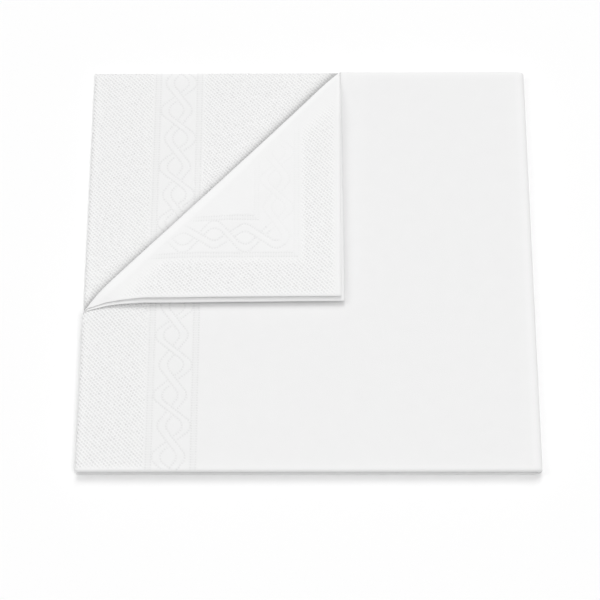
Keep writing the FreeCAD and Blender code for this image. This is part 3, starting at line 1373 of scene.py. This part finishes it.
@dataclass(frozen=True)
class PaperFinish:
    """The look of soft embossed tissue, with its rows in millimetres."""

    colour: Colour = (0.889, 0.889, 0.889, 1.0)
    # painted highlight on folds, edges, the crease and the turned corner, and the paler tone of
    # rowed paper
    pale_and_highlight_colour: Colour = (0.97, 0.97, 0.97, 1.0)
    # painted shade in the dots, under the crease and between the leaves at the front
    painted_shade_colour: Colour = (0.6, 0.6, 0.6, 1.0)
    cloud_colour: Colour = (0.982, 0.982, 0.982, 1.0)
    row_lift: float = 0.8  # how much lighter the paper is where it has rows
    row_shade: float = 0.31  # painted shade: how much darker their dots are
    row_base: float = 0.4  # of a row's depth between its dots
    patch_least: float = 0.5  # of the rows' strength where they are faintest
    patch_share: float = 1.0
    patch_noise: Tuple[float, float, float] = (70.0, 2.0, 0.6)
    fibre_noise: Tuple[float, float, float] = (260.0, 4.0, 0.6)
    cloud_noise: Tuple[float, float, float] = (18.0, 3.0, 0.5)
    roughness: float = 0.92
    shine: float = 0.2
    row_pitch: float = 1.1
    dot_pitch: float = 1.05
    row_height: float = 0.0002  # metres
    fibre_height: float = 0.00003  # metres

    def rows(self, graph: Graph, places: Wire) -> Wire:
        """The small diagonal rows of dots.

        Args:
            graph: The material's graph.
            places: The sheet's UV map.

        Returns:
            How far each place is pressed in, from 0 to 1.
        """
        parts = graph.node("ShaderNodeSeparateXYZ", None, {0: places})
        x, y = (Wire(graph, parts.outputs[axis]) * UV_UNIT for axis in (0, 1))
        across = (x + y) / (ROOT_2 * self.row_pitch)
        along = (x - y) / (ROOT_2 * self.dot_pitch) + across.nearest() * 0.5
        row = across.wave() * (along.wave() * (1 - self.row_base) + self.row_base)
        return row * (graph.noise(places, *self.patch_noise) * self.patch_share + self.patch_least)

    def material(self) -> bpy.types.Material:
        """Makes the paper.

        Returns:
            The material.
        """
        material = bpy.data.materials.new("embossed_tissue")
        material.use_nodes = True
        graph = Graph(material.node_tree)
        places = graph.add("ShaderNodeUVMap", {"uv_map": SHEET_UV})
        strength, fold, pressed = (graph.attribute(name) for name in (EMBOSS, HIGHLIGHT, PAINTED_SHADE))
        rows = self.rows(graph, places) * strength
        fibres = graph.noise(places, *self.fibre_noise)
        height = fibres * self.fibre_height - rows * self.row_height
        normal = graph.add(
            "ShaderNodeBump", None, {"Strength": 1.0, "Distance": 1.0, "Height": height}
        )
        # painted highlight by the folds, the crease, the edges and on the turned corner, and a
        # paler tone where there are rows
        tone = graph.mix(fold + strength * self.row_lift, self.colour, self.pale_and_highlight_colour)
        # painted shade in the dots of the border and the rows, on the leaf under the crease and
        # between the leaves at the front
        tone = graph.mix(pressed + rows * self.row_shade, tone, self.painted_shade_colour)
        clouds = graph.noise(places, *self.cloud_noise)
        mottled = graph.mix(clouds, tone, self.cloud_colour, "MULTIPLY")
        inputs = {
            "Base Color": mottled,
            "Roughness": self.roughness,
            "Normal": normal,
            "Specular IOR Level": self.shine,
        }
        shader = graph.add("ShaderNodeBsdfPrincipled", None, inputs)
        graph.node("ShaderNodeOutputMaterial", None, {"Surface": shader})
        return material


@dataclass(frozen=True)
class FloorFinish:
    """The look of the white floor."""

    colour: Colour = (0.99, 0.99, 0.99, 1.0)

    def material(self) -> bpy.types.Material:
        """Makes the floor's material.

        Returns:
            The material.
        """
        material = bpy.data.materials.new("white_floor")
        material.use_nodes = True
        graph = Graph(material.node_tree)
        shader = graph.add("ShaderNodeBsdfDiffuse", None, {"Color": self.colour})
        graph.node("ShaderNodeOutputMaterial", None, {"Surface": shader})
        return material


@dataclass(frozen=True)
class Lamp:
    """A broad, far lamp."""

    name: str
    share: float  # of the light that makes a white floor look white
    spread: float  # degrees
    direction: Tuple[float, float, float]  # towards the lamp

    def build(self) -> None:
        """Makes the lamp."""
        towards = Vector(self.direction).normalized()
        lamp = bpy.data.lights.new(self.name, "SUN")
        lamp.energy = self.share * math.pi / towards.z
        lamp.angle = math.radians(self.spread)
        lamp_object = bpy.data.objects.new(self.name, lamp)
        lamp_object.rotation_euler = towards.to_track_quat("Z", "Y").to_euler()
        bpy.context.collection.objects.link(lamp_object)


@dataclass
class Studio:
    """The floor and the light, in metres."""

    finish: FloorFinish
    floor_size: float = 6.0
    floor_drop: float = 0.0002
    sky: float = 0.31  # the even light's share, which makes 1 with the lamps'
    lamps: Tuple[Lamp, ...] = (
        Lamp("window_light", 0.31, 32.0, (0.05, 0.55, 1.0)),
        Lamp("side_light", 0.25, 24.0, (0.4, -0.3, 1.0)),
        Lamp("left_light", 0.13, 32.0, (-0.75, 0.05, 1.0)),
    )

    def build(self) -> None:
        """Makes the floor, the lamps and the even light from all round."""
        half = self.floor_size / 2
        corners = [(-half, -half), (half, -half), (half, half), (-half, half)]
        mesh = bpy.data.meshes.new("floor")
        mesh.from_pydata([(x, y, -self.floor_drop) for x, y in corners], [], [(0, 1, 2, 3)])
        mesh.materials.append(self.finish.material())
        floor = bpy.data.objects.new("floor", mesh)
        bpy.context.collection.objects.link(floor)

        for lamp in self.lamps:
            lamp.build()
        world = bpy.data.worlds.new("studio")
        world.use_nodes = True
        bpy.context.scene.world = world
        bpy.context.scene.view_settings.view_transform = "Standard"
        graph = Graph(world.node_tree)
        seen = graph.add("ShaderNodeLightPath", None, None, "Is Camera Ray")
        light = graph.add("ShaderNodeBackground", None, {"Color": WHITE, "Strength": self.sky})
        white = graph.add("ShaderNodeBackground", None, {"Color": WHITE, "Strength": 1.0})
        mixed = graph.add("ShaderNodeMixShader", None, {0: seen, 1: light, 2: white})
        graph.node("ShaderNodeOutputWorld", None, {"Surface": mixed})
        LOG.info("studio: %d lamps, sky %.2f", len(self.lamps), self.sky)


@dataclass
class Viewpoint:
    """The camera, in millimetres and degrees."""

    target: Tuple[float, float, float] = (-3.28, -14.66, 5.3)
    distance: float = 675.4
    elevation: float = 68.29
    yaw: float = 1.45
    roll: float = -1.44
    focal_pixels: float = 1850.0
    image: int = 600  # pixels
    sensor: float = 36.0
    near: float = 10.0
    far: float = 20000.0

    def build(self) -> None:
        """Makes the camera and makes it the scene's own."""
        elevation, yaw, roll = (math.radians(a) for a in (self.elevation, self.yaw, self.roll))
        back = Vector(
            (
                math.sin(yaw) * math.cos(elevation),
                -math.cos(yaw) * math.cos(elevation),
                math.sin(elevation),
            )
        )
        right = (-back).cross(Vector((0, 0, 1))).normalized()
        up = right.cross(-back)
        turned_right = right * math.cos(roll) + up * math.sin(roll)
        turned_up = up * math.cos(roll) - right * math.sin(roll)
        rotation = Matrix((turned_right, turned_up, back)).transposed()
        data = bpy.data.cameras.new("camera")
        data.sensor_width = self.sensor
        data.lens = self.focal_pixels / self.image * self.sensor
        data.clip_start, data.clip_end = self.near * MM, self.far * MM
        camera = bpy.data.objects.new("camera", data)
        camera.matrix_world = Matrix.Translation(
            (Vector(self.target) + back * self.distance) * MM
        ) @ rotation.to_4x4()
        bpy.context.collection.objects.link(camera)
        bpy.context.scene.camera = camera
        LOG.info("camera: lens %.1f mm", data.lens)


def main() -> None:
    """Builds the napkin, the floor, the light and the camera."""
    folds = Folds()
    emboss = Emboss(folds)
    sheet = Sheet(folds, emboss, Softness(folds)).build()
    sheet.data.materials.append(PaperFinish().material())
    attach(sheet, "root")
    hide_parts(NODE)
    Studio(FloorFinish()).build()
    Viewpoint().build()


if __name__ == "__main__":
    main()
